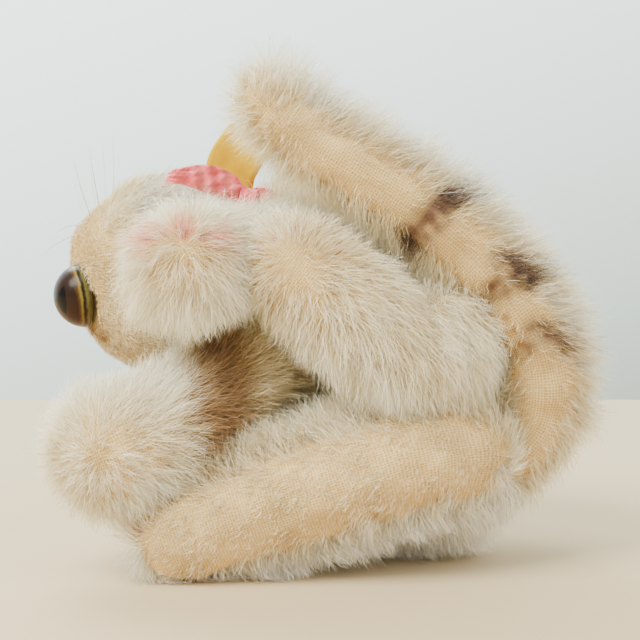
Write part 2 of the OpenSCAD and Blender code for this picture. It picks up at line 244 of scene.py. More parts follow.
TORSO = [
    (-12.9, 35.5, 55.5, 2.5), (-12.2, 35.4, 55.5, 9.0), (-9, 34.8, 55.9, 12.2), (-4.2, 33.8, 56.2, 13.4),
    (4, 34.5, 47, 18.4), (17, 34, 40, 20.2), (28, 32, 35, 19.5),
]
TAIL = [
    (37, 15, 21, 6.3), (43, 14, 30, 6.6), (42, 12, 43, 6.6), (33, 10, 57, 6.6),
    (21, 9, 68, 6.6), (7, 8, 77, 6.0), (-4, 8, 84, 5.7), (-10, 8, 89, 4.8),
]
LEFT_FRONT = [(-25, 0, 60, 8.3), (-20, 10, 60, 7.7), (-4, 24.5, 58.5, 7.8)]
RIGHT_FRONT = [(-38.5, 1, 24.5, 10.8), (-28, 6, 29, 9.0), (-16, 15, 36, 8.1), (-6, 25, 44, 7.6)]
LEFT_HIND = [
    (-5, 3, 59, 8.1), (6, 3.5, 50.5, 9.0), (16, 5, 42.5, 8.6),
    (24, 14, 46, 9.5), (17, 26, 56, 11.4), (5, 31, 58, 10.4),
]
RIGHT_HIND = [
    (-26, 0, 8, 8.1), (-12, 0.5, 13, 9.0), (3, 1, 18, 9.5), (17, 3, 22, 9.5),
    (27, 9.5, 22, 9.5), (24, 20, 16, 11.4), (12, 29, 11.5, 13.8), (-4, 31, 10.5, 12.8),
]

torso = sweep(TORSO, 11, spokes=96, lumps=0.5)
tail = sweep(TAIL, 21, spokes=56)
left_front = sweep(LEFT_FRONT, 31)
right_front = sweep(RIGHT_FRONT, 41)
left_hind = sweep(LEFT_HIND, 51)
right_hind = sweep(RIGHT_HIND, 61)

# The head: spheres of skull, cheeks, muzzle pads and chin, blended, seen from the skull's middle.
HEAD_BALLS = [
    (0, 0, 0, 20.0), (5.5, 9, -5, 10.6), (5.5, -9, -5, 10.6), (10.4, 0, -5, 9.4),
    (14.4, 3.4, -6.0, 5.4), (14.4, -3.4, -6.0, 5.4), (11.0, 0, -9.5, 5.4), (17.6, 0, -1.8, 2.8),
]
EYE_PLACE, EYE_LOOK, EYE_ROOT, EYE_R = (31, 8), (22, 3), 19.0, 6.5
SOCKET_R, LID_R = 5.2, 7.4
BLEND = 1.6  # how sharply the spheres of the head blend into each other
HEAD_RINGS, HEAD_SPOKES, NECK_EDGE = 150, 176, 147.5


def eye_root(side):
    """The middle of an eye's flat back, in the head's own frame."""
    return EYE_ROOT * aim(side * EYE_PLACE[0], EYE_PLACE[1])


def eye_gaze(side):
    return aim(side * EYE_LOOK[0], EYE_LOOK[1])


def head_reach(d):
    """How far the head's skin is from its middle in the directions d, in its own frame."""
    reach = np.zeros((len(HEAD_BALLS), len(d)))
    for k, (x, y, z, r) in enumerate(HEAD_BALLS):
        c = np.array([x, y, z])
        b = d @ c
        under = b * b - c @ c + r * r
        reach[k] = np.where(under > 0, b + np.sqrt(np.maximum(under, 0)), 0)
    top = reach.max(0)
    soft = top + np.log(np.exp(BLEND * (reach - top)).sum(0)) / BLEND - 0.15
    for side in (-1, 1):
        off = size_of(d * soft[:, None] - eye_root(side))
        soft -= 1.1 * np.exp(-((off / SOCKET_R) ** 4))
        soft += 0.5 * np.exp(-(((off - LID_R) / 1.5) ** 2))
    return soft


def head_surface():
    """The head's skin, open at the neck, as rings round its forward axis."""
    polar = np.radians(np.linspace(0.6, NECK_EDGE, HEAD_RINGS))[:, None]
    turn = full_turn(HEAD_SPOKES)[None]
    sides = np.sin(polar)
    d = np.stack([np.cos(polar) + 0 * turn, sides * np.cos(turn), sides * np.sin(turn)], axis=2)
    flat = d.reshape(-1, 3)
    r = head_reach(flat) + 0.18 * field(flat * 21, 7, 5)
    return Surface(lying(flat * r[:, None]).reshape(d.shape), np.array([[*HEAD, 20.5]]))


head = head_surface()


def on_face(azimuth, elevation, lift=0.0):
    """A point that far above the head's skin, in the head's own frame."""
    d = aim(azimuth, elevation)
    return (head_reach(d[None])[0] + lift) * d


NOSE = on_face(0, -5)

# ---- what is worn, striped, tinted or painted with shade
WORN = [
    (-4, -5.5, 58.6, 3.6), (37.5, 3, 28, 4.2), (-3, 2.5, 86.5, 2.6), (4.6, 2, 80.3, 2.8),
    (9, 2, 76.5, 2.6), (13, 2.5, 72.9, 2.8), (19.5, 3, 68.3, 2.8), (24, 4, 63.5, 2.4),
    (28.1, 4.5, 57.9, 2.8), (35, 7, 47.3, 3.2), (37.5, 8, 40, 2.6), (-37.2, -8.5, 27.2, 2.2),
    (-30, -7, 24.2, 2.2), (-10, -8, 11.8, 2.2), (-5, -8.5, 13, 2.2), (0, -8.5, 14.8, 2.4),
    (14, -7, 22.5, 2.0), (20, -7, 25.1, 2.4), (-26, -8, 4.5, 2.4),
]
# Airbrushed spots. The one at 25.8, -2, 48.5 is painted shade, in the cleft where the left hind leg meets the
# tail.
STRIPE_AND_SHADE_SPOTS = [
    (25.8, 3, 73.4, 2.5), (23.7, 3, 71.6, 2.6), (22.2, 2.5, 69.6, 2.7), (20.6, 2.5, 67.4, 3.0),
    (18.6, 3, 65.1, 3.0), (33.2, 4.5, 59.6, 2.2), (36, 5, 57.5, 2.8), (37.4, 6, 55.8, 2.6),
    (33.6, 4, 54.8, 2.6), (31.6, 4, 52.6, 1.8), (42.8, 7, 45.4, 2.6), (40.5, 6, 46.8, 2.2),
    (44.2, 8, 43.4, 2.2), (39.4, 6, 43.6, 1.8), (12.4, 13, 61.1, 2.8), (11.1, 13, 60, 2.6),
    (14.4, 13, 62.2, 2.6), (25.8, -2, 48.5, 2.6), (16.4, 4, 63.6, 2.8), (13.6, 5, 62.0, 3.0),
]
FAINT_SPOTS = [(8.5, 2, 57.5, 2.4), (37.0, 6, 41, 2.2), (30, 4, 50.5, 2.2)]
CLAW_TINTS = [
    (-30.0, -4.5, 64.7, 2.4), (-24.6, -6, 65.8, 2.2), (-19.8, -4.6, 64.7, 2.4), (-48.5, -3, 17.6, 2.2),
    (-13.5, -3, 62.5, 1.2), (-33.5, 0, 9.5, 1.6),
]
# Bare holes in the pile on the tail, next to the left hind leg; the cloth in them is painted dark brown as
# shade.
HOLES_WITH_PAINTED_SHADE = [(35.3, 5.5, 49.1, 0.9), (36.6, 5.5, 46.5, 0.7), (37.9, 5.8, 43.9, 1.0)]


def bands(p, line, stops, width, outward):
    """Airbrushed bars across the side of a centre line that faces outward."""
    line = line[:, :3]
    nearest = size_of(p[:, None] - line[None]).argmin(1)
    side = dot(unit(p - line[nearest]), unit(outward))
    wavy = distances(line)[nearest] + 1.3 * field(p, 9, 77)
    bar = np.zeros(len(p))
    for stop in stops:
        bar = np.maximum(bar, np.exp(-(((wavy - stop) / width) ** 2)))
    return bar * ease(side, 0.35, 0.8)


BARS = {
    "tail": (tail.blobs, (23.5, 36.5, 55.0, 70.0, 83.0), 2.3, (0.5, 0.8, 0.5)),
    "torso": (torso.blobs, (17.0, 27.0, 37.0, 47.0), 2.4, (0.35, 0.8, 0.35)),
}


def stripes_and_shade(p, part):
    """How dark each point of a part is, from 0 to 1: the airbrushed pattern, and a spot of painted shade in
    the cleft where the left hind leg meets the tail.
    """
    dark = np.maximum(near(p, STRIPE_AND_SHADE_SPOTS), 0.45 * near(p, FAINT_SPOTS))
    if part in BARS:
        dark = np.maximum(dark, bands(p, *BARS[part]) * 0.9)
    return np.clip(dark * (1.15 + 0.3 * field(p, 3, 78)), 0, 1)


# ---- colours
def linear(rgb):
    """An sRGB colour from 0 to 255 as linear light."""
    c = np.array(rgb, float) / 255
    return np.where(c <= 0.04045, c / 12.92, ((c + 0.055) / 1.055) ** 2.4)


def rgba(rgb):
    return (*linear(rgb), 1)


SHADES = {
    "umber": (158, 120, 76), "tan": (198, 167, 118), "sand": (223, 199, 152),
    "cream": (238, 221, 180), "ivory": (247, 237, 207), "white": (253, 249, 232),
    "slate": (150, 138, 120), "grey": (190, 180, 160), "silver": (222, 214, 196),
    "frost": (243, 239, 227),
    "black_brown": (58, 42, 38), "brown": (94, 71, 64), "taupe": (136, 113, 101),
    "mouse": (180, 162, 144),
    "rose": (232, 134, 120), "pink": (243, 172, 155), "blush": (248, 212, 192),
    "russet": (174, 138, 102), "chestnut": (128, 98, 70),
}
SHADE = {name: k for k, name in enumerate(SHADES)}
RAMPS = [
    ["umber", "tan", "sand", "cream", "ivory", "white"],
    ["slate", "grey", "silver", "silver", "frost", "frost"],
    ["black_brown", "black_brown", "brown", "taupe", "mouse", "ivory"],
    ["rose", "rose", "pink", "pink", "blush", "ivory"],
    # rust: the airbrushed tan by the eyes; its dark end, chestnut, is painted shade on the belly and the
    # right front leg
    ["chestnut", "chestnut", "umber", "russet", "tan", "sand"],
]
RAMP_SLOTS = np.array([[SHADE[name] for name in ramp] for ramp in RAMPS])
CREAM, GREY, STRIPE_AND_SHADE, PINK, RUST_AND_SHADE = range(5)


# ---- materials
class Nodes:
    """A material's node tree with short ways to add and link nodes."""

    def __init__(self, name):
        self.mat = bpy.data.materials.new(name)
        self.mat.use_nodes = True
        self.tree = self.mat.node_tree
        self.shader = self.tree.nodes["Principled BSDF"]

    def add(self, kind, **values):
        node = self.tree.nodes.new("ShaderNode" + kind)
        for key, value in values.items():
            if key in node.inputs:
                self.feed(node.inputs[key], value)
            else:
                setattr(node, key, value)
        return node

    def feed(self, socket, value):
        if isinstance(value, bpy.types.NodeSocket):
            self.tree.links.new(value, socket)
        else:
            socket.default_value = value

    def fill(self, sockets, values):
        for socket, value in zip(sockets, values):
            self.feed(socket, value)

    def set(self, **values):
        """Sets or links the shader's own sockets."""
        for key, value in values.items():
            self.feed(self.shader.inputs[key.replace("_", " ")], value)
        return self.mat

    def math(self, operation, a, b=0.0, c=0.0):
        node = self.add("Math", operation=operation)
        self.fill(node.inputs, (a, b, c))
        return node.outputs[0]

    def times(self, a, b):
        return self.math("MULTIPLY", a, b)

    def scaled(self, a, b, c):
        """a times b, plus c."""
        return self.math("MULTIPLY_ADD", a, b, c)

    def vector(self, operation, *values):
        node = self.add("VectorMath", operation=operation)
        self.fill(node.inputs, values)
        return node.outputs

    def wave(self, value, period):
        return self.math("SINE", self.times(value, 2 * pi / period))

    def half_wave(self, value, period):
        """A wave from 0 to 1."""
        return self.scaled(self.wave(value, period), 0.5, 0.5)

    def climb(self, value, low, high, top=1.0):
        """Rises evenly from 0 at low to top at high."""
        node = self.add("MapRange")
        self.fill(node.inputs, (value, low, high, 0.0, top))
        return node.outputs[0]

    def mix(self, share, a, b, blend="MIX"):
        node = self.add("Mix", data_type="RGBA", blend_type=blend)
        self.fill((node.inputs[0], node.inputs[6], node.inputs[7]), (share, a, b))
        return node.outputs[2]

    def noise(self, scale, detail=2.0, rough=0.5):
        node = self.add("TexNoise", Scale=scale, Detail=detail, Roughness=rough)
        self.feed(node.inputs["Vector"], self.place())
        return node.outputs["Fac"]

    def place(self):
        return self.add("TexCoord").outputs["Object"]

    def weave_map(self):
        return self.add("UVMap", uv_map="weave").outputs[0]

    def parts(self, vector):
        node = self.add("SeparateXYZ")
        self.feed(node.inputs[0], vector)
        return node.outputs[0], node.outputs[1]

    def weave(self):
        """Across and along the cloth, in millimetres."""
        return self.parts(self.weave_map())

    def ramp(self, value, stops):
        """Colours as stops of place and sRGB."""
        node = self.add("ValToRGB")
        self.feed(node.inputs[0], value)
        points = node.color_ramp.elements
        while len(points) < len(stops):
            points.new(0.5)
        for point, (at, colour) in zip(points, stops):
            point.position = at
            point.color = rgba(colour)
        return node.outputs[0]

    def bump(self, height, distance, strength):
        return self.add("Bump", Height=height, Distance=distance, Strength=strength).outputs[0]


def fur_material(name, rgb):
    """One shade of mohair. The colour of a hair changes from root to tip by its faces' shades."""
    m = Nodes(name)
    gleam = m.scaled(m.noise(900.0), 0.5, 0.2)
    return m.set(
        Base_Color=rgba(rgb), Roughness=0.55, Specular_IOR_Level=gleam, Sheen_Weight=0.12, Sheen_Roughness=0.4
    )


THREAD = 1.15  # the width of two threads of the backing


def cloth_material(name):
    """Backing cloth: a plain weave over the tint painted on the mesh, with painted shade in the gaps between
    its threads, stray threads and grime.
    """
    m = Nodes(name)
    tint = m.add("VertexColor", layer_name="tint").outputs["Color"]
    place = m.weave_map()
    stray = m.add("TexNoise", Scale=0.9, Detail=1.0)
    m.feed(stray.inputs["Vector"], place)
    moved = m.vector("MULTIPLY_ADD", stray.outputs["Color"], (0.35, 0.35, 0.0), place)[0]
    across, down = (m.wave(part, THREAD) for part in m.parts(moved))
    over = m.times(across, down)
    hole = m.times(m.math("ABSOLUTE", across), m.math("ABSOLUTE", down))
    height = m.scaled(over, 0.35, m.times(hole, -0.65))
    # painted shade: the gaps between the threads are darkened to brown
    dark = m.times(m.math("POWER", hole, 1.6), 0.62)
    blotch = m.noise(260.0, detail=4.0)
    colour = m.mix(dark, tint, rgba((128, 88, 54)))
    colour = m.mix(m.times(blotch, 0.45), colour, rgba((232, 205, 160)), "MULTIPLY")
    rough = m.scaled(blotch, 0.2, 0.75)
    return m.set(
        Base_Color=colour, Roughness=rough, Normal=m.bump(height, 0.00012, 0.8), Specular_IOR_Level=0.25
    )


FUR = [fur_material("fur_" + name, rgb) for name, rgb in SHADES.items()]
CLOTH = cloth_material("mohair_backing")


# ---- meshes
def placed(name, data):
    """A new object in the scene."""
    ob = bpy.data.objects.new(name, data)
    bpy.context.scene.collection.objects.link(ob)
    return ob


def new_mesh(name, verts, loops, starts, materials, slots=None):
    """A smooth mesh from flat arrays: corners, and the loop that each face starts at."""
    me = bpy.data.meshes.new(name)
    for items, key, values, kind in (
        (me.vertices, "co", verts, np.float32),
        (me.loops, "vertex_index", loops, np.int32),
        (me.polygons, "loop_start", starts, np.int32),
    ):
        items.add(len(values))
        items.foreach_set(key, np.ascontiguousarray(values, kind).ravel())
    for m in materials:
        me.materials.append(m)
    if slots is not None:
        me.polygons.foreach_set("material_index", np.ascontiguousarray(slots, np.int32))
    me.polygons.foreach_set("use_smooth", np.ones(len(starts), bool))
    me.update(calc_edges=True)
    return placed(name, me)


def grid_mesh(name, grids, material):
    """Grids of layout points as quads that wrap round, with capped ends. The weave map is in millimetres."""
    verts, loops, starts, uvs, base, at = [], [], [], [], 0, 0
    for grid in grids:
        n, m = grid.shape[:2]
        i, j = np.meshgrid(np.arange(n - 1), np.arange(m), indexing="ij")
        k = (j + 1) % m
        quads = np.stack([i * m + j, (i + 1) * m + j, (i + 1) * m + k, i * m + k], axis=-1).reshape(-1)
        loops += [quads + base, np.arange(m) + base, (n - 1) * m + np.arange(m)[::-1] + base]
        starts.append(np.arange(len(quads) // 4) * 4 + at)
        starts.append(np.array([len(quads), len(quads) + m]) + at)
        arc = distances(grid)
        girth = size_of(np.roll(grid, -1, 1) - grid).sum(1)
        broad = np.percentile(girth, 70) / m  # the same width all along keeps the threads straight
        u = np.stack([j, j, j + 1, j + 1], axis=-1).reshape(-1) * broad
        v = np.stack([arc[i], arc[i + 1], arc[i + 1], arc[i]], axis=-1).reshape(-1)
        uvs += [np.stack([u, v], axis=1), np.zeros((2 * m, 2))]
        verts.append(grid.reshape(-1, 3))
        base += n * m
        at += len(quads) + 2 * m
    ob = new_mesh(name, row(np.vstack(verts)), np.concatenate(loops), np.concatenate(starts), [material])
    ob.data.uv_layers.new(name="weave").data.foreach_set("uv", np.vstack(uvs).astype(np.float32).ravel())
    return ob


def tint_mesh(ob, points, part):
    """Paints the backing's tint on a mesh: cream, with the airbrushed bars, painted shade in the bare holes
    and in the cleft by the left hind leg, and pink places.
    """
    tint = np.tile(linear((228, 201, 142)), (len(points), 1))
    tint *= (1 + 0.10 * field(points, 12, 91))[:, None]
    for share, rgb in (
        (stripes_and_shade(points, part), (92, 68, 60)),
        # the bare holes turn dark brown: painted shade
        (near(points, HOLES_WITH_PAINTED_SHADE), (138, 92, 40)),
        (near(points, CLAW_TINTS) * 0.8, (236, 150, 138)),
    ):
        tint = tint * (1 - share[:, None]) + linear(rgb) * share[:, None]
    tint = np.hstack([np.clip(tint, 0, 1), np.ones((len(tint), 1))])
    layer = ob.data.color_attributes.new("tint", "FLOAT_COLOR", "POINT")
    layer.data.foreach_set("color", tint.astype(np.float32).ravel())


def piece(name, body, grids, material, nodes):
    """A mesh that stands for CAD nodes."""
    ob = grid_mesh(name, grids, material)
    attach(ob, body)
    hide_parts(*nodes)
    return ob


# ---- fur
T_STEPS = np.array([0.0, 0.36, 0.7, 1.0])  # the points along a hair, as shares of its length
T_WIDTH = np.array([1.0, 0.95, 0.7])  # its width at all but the last of them, where it ends in a point
ROOT_DEPTH, FLOOR_GAP = 0.25, 0.12


def clumps(s, size, seed):
    """A group number for each hair: tufts about size across, with ragged borders."""
    p = s.p + 0.45 * size * np.stack([field(s.p, 1.7 * size, seed + k) for k in range(3)], 1)
    cell = np.floor(p / size + 7 * np.sin(seed)).astype(np.int64)
    key = (cell + 500) @ np.array([1000003, 1009, 1])  # one number for each cell
    return np.unique(key, return_inverse=True)[1]


def mean_by(group, values):
    """The mean of each group's values."""
    total = np.zeros((group.max() + 1, values.shape[1]))
    np.add.at(total, group, values)
    return total / np.bincount(group)[:, None]


def hairs(s, look, rng):
    """The points along each hair: it leaves the skin at its lift, bends over to its fall, and joins its tuft
    and, more loosely, its lock."""
    count = len(s.p)
    n, comb = s.n, look.comb
    comb = unit(comb - dot(comb, n)[:, None] * n)
    lift = look.lift[:, None]
    jitter = rng.normal(size=(count, 3)) * look.frizz[:, None]
    start = unit(comb * (1 - lift) + n * (lift + 0.15) + jitter)
    end = unit(comb * (1.15 - 0.8 * lift) + n * (0.75 * lift) + look.fall[:, None] * DOWN + jitter * 1.4)
    length = look.length * rng.uniform(0.72, 1.12, count)
    leads = []
    for size, seed, stray_size in ((look.tuft, look.seed, 0.8), (look.lock, look.seed + 50, 1.0)):
        # the one hair that each tuft or lock follows
        group = clumps(s, size, seed)
        groups = group.max() + 1
        stray = rng.normal(size=(groups, 3)) * look.stray * stray_size
        reach = mean_by(group, look.length[:, None]) * rng.uniform(0.8, 1.15, (groups, 1))
        first, last = unit(mean_by(group, start) + stray * 0.6), unit(mean_by(group, end) + stray)
        leads.append([values[group] for values in (mean_by(group, s.p), first, last, reach)])
    pull = look.pull * rng.uniform(0.5, 1.0, count)
    points = np.empty((count, len(T_STEPS), 3))
    for k, t in enumerate(T_STEPS):
        out, over = t - t * t / 2, t * t / 2
        own = s.p + length[:, None] * (start * out + end * over)
        tuft, lock = (root + reach * (first * out + last * over) for root, first, last, reach in leads)
        share = (pull * t**1.1)[:, None]
        points[:, k] = own * (1 - share) + (tuft * 0.62 + lock * 0.38) * share
    points[:, 0] -= ROOT_DEPTH * n
    wobble = rng.normal(size=(count, 3)) * (look.frizz * length * 0.24)[:, None]
    points[:, 1] -= 0.5 * wobble
    points[:, 2] += wobble
    low = FLOOR_GAP + rng.random((count, 1)) * 0.5
    points[..., 2] = np.maximum(points[..., 2], low)
    return points


def hair_slots(s, look, rng):
    """The shade of each third of each hair."""
    q = look.tone + rng.normal(size=len(s.p)) * 0.11 * look.even
    steps = np.stack([q - 0.19 * look.even, q + 0.01, q + 0.17], 1)
    top = RAMP_SLOTS.shape[1] - 1
    level = np.clip(np.rint(steps * top), 0, top).astype(int)
    return RAMP_SLOTS[look.hue[:, None], level]


def fur_mesh(name, points, slots, width, rng):
    """Hairs as narrow tapering blades."""
    count, steps = points.shape[:2]
    along = unit(points[:, -1] - points[:, 0])
    side = unit(np.cross(along, rng.normal(size=(count, 3))))
    pairs = steps - 1
    half = (width[:, None] * T_WIDTH[None, :])[..., None] / 2
    left = points[:, :pairs] - side[:, None] * half
    right = points[:, :pairs] + side[:, None] * half
    body = np.stack([left, right], axis=2).reshape(count, pairs * 2, 3)
    verts = np.concatenate([body, points[:, -1:]], axis=1)
    per = pairs * 2 + 1
    base = [2 * k + corner for k in range(pairs - 1) for corner in (0, 1, 3, 2)]
    base += [2 * pairs - 2, 2 * pairs - 1, 2 * pairs]
    loops = (np.arange(count)[:, None] * per + np.array(base)).ravel()
    starts = (np.arange(count)[:, None] * len(base) + 4 * np.arange(pairs)).ravel()
    return new_mesh(name, row(verts.reshape(-1, 3)), loops, starts, FUR, slots.ravel())


MOST_HAIRS, HIDDEN_DEPTH = 38000, 0.4  # hairs in a piece, and how deep in another part none grow


def kept(values, keep):
    """The same values for fewer hairs. What holds for all hairs stays."""
    fewer = {k: v[keep] if isinstance(v, np.ndarray) else v for k, v in vars(values).items()}
    return SimpleNamespace(**fewer)


def grow(part, body, surface, density, style, hidden_in, seed):
    """Covers a surface in fur that follows a style, in pieces small enough to handle."""
    rng = np.random.default_rng(seed)
    s = surface.sample(density, rng)
    flat_on_floor = (s.p[:, 2] < 0.5) & (s.n[:, 2] < -0.5)
    s = kept(s, ~buried(s.p, hidden_in, HIDDEN_DEPTH) & ~flat_on_floor)
    count = len(s.p)
    look = SimpleNamespace(
        length=np.full(count, 6.0), lift=np.full(count, 0.45), comb=s.along, keep=np.ones(count),
        tone=np.full(count, 0.68), hue=np.zeros(count, int), fall=np.full(count, 0.25),
        frizz=np.full(count, 0.27), pull=0.72, tuft=1.1, lock=3.2, stray=0.40, width=0.086, even=1.0,
        seed=seed,
    )
    style(s, look)
    common_look(s, look, part)
    chosen = rng.random(count) < look.keep
    s, look = kept(s, chosen), kept(look, chosen)
    points = hairs(s, look, rng)
    slots = hair_slots(s, look, rng)
    width = look.width * rng.uniform(0.7, 1.25, len(points))
    order = np.argsort(s.arc)
    for k, some in enumerate(np.array_split(order, max(1, ceil(len(order) / MOST_HAIRS)))):
        ob = fur_mesh(f"{part}_pile_{k + 1}", points[some], slots[some], width[some], rng)
        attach(ob, body)


def dye(look, where, hue, tone):
    look.hue = np.where(where, hue, look.hue)
    look.tone = np.where(where, tone, look.tone)


def common_look(s, look, part):
    """What holds for every part: blotches, worn places, bare holes, stripes, painted shade in the cleft by
    the left hind leg, and pink round the claws.
    """
    p = s.p
    look.tone = look.tone + 0.07 * field(p, 16, 81) + 0.05 * field(p, 4, 82)
    worn = np.clip(near(p, WORN) * (1.15 + 0.4 * field(p, 2.5, 83)), 0, 1)
    look.keep = look.keep * (1 - 0.86 * worn) * (near(p, HOLES_WITH_PAINTED_SHADE) < 0.3)
    look.length = look.length * (1 - 0.55 * worn)
    dark, pink = stripes_and_shade(p, part), near(p, CLAW_TINTS)
    chance = 0.5 + 0.5 * np.sin(p @ np.array([91.7, 57.3, 73.9]) * 3.1)
    # dark hair on the stripes, and as painted shade on the spot in the cleft by the left hind leg
    dye(look, dark * 1.35 > 0.2 + 0.7 * chance, STRIPE_AND_SHADE, 0.82 - 0.56 * dark)
    dye(look, pink > 0.2 + 0.55 * chance, PINK, 0.95 - 0.5 * pink)


def away(s):
    """Round a limb, away from the seam that faces the viewer."""
    return np.sign(s.theta)[:, None] * s.around


def whorl(s, centre):
    """The direction and distance of each hair from the point that a paw's hair spreads out from."""
    off = s.p - np.array(centre, float)
    return unit(off), size_of(off)


def style_tail(s, look):
    tip = ease(s.arc / s.arc.max(), 0.78, 0.95)
    bend = tip[:, None]
    look.comb = away(s) - s.along * 0.65 * (1 - bend) + s.along * 0.5 * bend + 0.15 * DOWN
    seam = np.abs(s.theta)
    outer = dot(s.n, unit([0.7, 0.2, 0.7]))
    look.length = 2.6 + 5.0 * ease(seam, 0.35, 1.25) + 2.2 * ease(outer, 0.2, 0.8) + 0.9 * tip
    look.length = look.length + 0.8 * field(s.p, 9, 101)
    look.keep = np.maximum(0.14 + 0.86 * ease(seam, 0.2, 0.95), 0.8 * tip)
    look.lift = 0.25 + 0.3 * ease(seam, 0.5, 1.6)
    look.tone = 0.60 + 0.16 * ease(seam, 0.5, 1.5)
    look.hue = np.where((outer > 0.55) & (field(s.p, 3, 102) > -0.3), GREY, CREAM)
    look.fall[:] = 0.1


def style_left_front(s, look):
    centre = (-24.6, -8.2, 63.0)
    out, spread = whorl(s, centre)
    left, high = centre[0] - s.p[:, 0], s.p[:, 2] - centre[2]
    look.comb = out + 0.45 * DOWN
    look.length = 5.2 + 3.4 * ease(spread, 3, 11) + 1.8 * ease(-high, 0, 8) + 1.4 * ease(left, 3, 10)
    look.length = look.length + 0.5 * field(s.p, 6, 111)
    look.lift = 0.5 - 0.12 * ease(spread, 5, 14)
    look.fall[:] = 0.35
    look.tone = 0.76 + 0.12 * ease(spread, 4, 10) + 0.08 * ease(high, 0, 6)
    look.lock = 3.4


def style_left_hind(s, look):
    centre = (-4.0, -6.0, 59.0)
    out, spread = whorl(s, centre)
    toe = 1 - ease(spread, 9, 20)[:, None]
    low = ease(centre[2] - s.p[:, 2], 6, 18)
    look.comb = out * (0.35 + toe) + 0.8 * DOWN * (1 - 0.6 * toe) + 0.25 * away(s)
    look.length = 4.2 + 3.6 * ease(spread, 3, 13) + 2.0 * low + 0.7 * field(s.p, 7, 121)
    look.lift = 0.40 - 0.1 * ease(spread, 8, 22)
    look.fall[:] = 0.4
    look.tone = 0.71 + 0.07 * low + 0.08 * field(s.p, 10, 122)
    look.lock = 3.8


def style_right_front(s, look):
    out, spread = whorl(s, (-40, -10, 24))
    arm = ease(s.p[:, 0], -30, -22)
    root = ease(s.p[:, 0], -21, -14)
    look.comb = out + 0.5 * np.array([0.3, 0, -0.3])
    look.length = 2.8 + 4.6 * ease(spread, 5, 13) + 0.4 * field(s.p, 6, 131) + 2.0 * arm
    look.lift = 0.32 + 0.1 * ease(spread, 6, 12)
    # Painted shade: up the arm, where it recedes into the gap between the legs, the hair turns dark rust
    # brown, and nearer the body a darker cream.
    look.tone = (0.83 + 0.1 * ease(spread, 8, 14)) * (1 - arm) + (0.30 + 0.2 * root) * arm
    look.hue = np.where((arm > 0.5) & (root < 0.5), RUST_AND_SHADE, CREAM)
    look.fall[:] = 0.15
    look.tuft, look.lock = 0.9, 2.4


def style_right_hind(s, look):
    p, n = s.p, s.n
    sole = ease(-n[:, 1], 0.35, 0.75) * (p[:, 1] < 4)
    lower = ease(-n[:, 2], -0.1, 0.5)
    upper = (1 - lower) * (1 - ease(p[:, 0], 4, 14))
    flat, low = sole[:, None], lower[:, None]
    fringe = np.array([0.45, 0.0, -1.0]) * low + np.array([-0.35, 0, 1.0]) * (1 - low)
    look.comb = fringe * (1 - flat) + np.array([-0.6, 0, -0.35]) * flat
    look.length = (7.0 + 3.0 * upper + 1.4 * lower) * (1 - sole) + 1.5 * sole + 0.5 * field(p, 7, 141)
    look.keep = 1 - 0.45 * sole
    look.lift = 0.42 - 0.1 * sole
    # The lower fringe is paler: partly its own paler hair, partly painted light that lifts the shade under
    # the leg.
    look.tone = 0.74 - 0.12 * sole + 0.16 * lower * (1 - sole)
    look.hue = np.where((lower > 0.4) & (sole < 0.5) & (field(p, 3, 142) > -0.5), GREY, CREAM)
    look.fall = 0.1 + 0.25 * lower


def style_torso(s, look):
    p = s.p
    rump = ease(p[:, 0], 12, 34)[:, None]
    nape = ease(s.n[:, 2], 0.2, 0.6) * (1 - ease(p[:, 0], 2, 8)) * ease(p[:, 0], -13, -9)
    belly = ease(-p[:, 1], -27, -14) * (1 - ease(p[:, 0], -13, -5))
    look.comb = s.along * 0.8 + 0.5 * DOWN * (1 - rump) + np.array([0.5, 0, -0.2]) * rump
    look.comb = look.comb + np.array([-0.2, -0.2, 2.4]) * nape[:, None]
    look.length = 6.6 + 4.4 * nape + 0.8 * field(p, 8, 151)
    look.lift = look.lift + 0.35 * nape
    # Painted shade: the belly, deep in the gap behind the front legs, gets dark rust-brown hair.
    look.hue = np.where(belly > 0.35, RUST_AND_SHADE, CREAM)
    look.tone = 0.68 - 0.36 * belly
    look.fall[:] = 0.2
    look.lock = 3.8


RUSTY_FACE = [(-43.5, 27, 51.5, 3.5), (-46, 29, 44, 4.0), (-43.5, 51, 52, 3.5)]
EYE_BARE, NOSE_BARE, NECK_BARE = 6.2, 2.1, 12.5  # how far from their middles no hair grows


def style_head(s, look):
    own = upright(s.p)
    x, y, z = own.T
    from_nose, from_neck = size_of(own - NOSE), size_of(s.p - NECK)
    look.comb = HEAD_TURN @ np.array([-1.0, 0, 0]) + 0.6 * HEAD_TURN[:, 1] * np.sign(y)[:, None]
    throat = ease(-z, 8, 16)
    muzzle = (x > 15) & (np.abs(y) < 6)
    look.length = 1.9 + 2.6 * throat * (x < 12) + 0.5 * ease(-x, 0, 12) - 0.5 * muzzle
    look.length = look.length * (0.35 + 0.65 * ease(from_neck, 12, 20))
    look.lift[:] = 0.34
    # The head darkens below a height of 48, towards the floor: painted shade on its lower part.
    look.tone = 0.66 + 0.12 * throat - 0.12 * ease(48 - s.p[:, 2], 0, 14)
    look.hue = np.where(near(s.p, RUSTY_FACE) > 0.5, RUST_AND_SHADE, np.where(throat * (x < 6) > 0.6, GREY, CREAM))
    blush = np.exp(-((from_nose / 6.5) ** 2)) > 0.2 + 0.5 * np.abs(np.sin(y * 40 + z * 31))
    dye(look, blush, PINK, 0.8)
    look.keep = (from_nose > NOSE_BARE) * (from_neck > NECK_BARE) * 1.0
    for side in SIDES.values():
        look.keep *= size_of(own - eye_root(side)) > EYE_BARE
    look.fall[:] = 0.0
    look.frizz[:] = 0.12
    look.tuft, look.lock, look.pull, look.width, look.even = 0.7, 2.0, 0.25, 0.085, 0.5


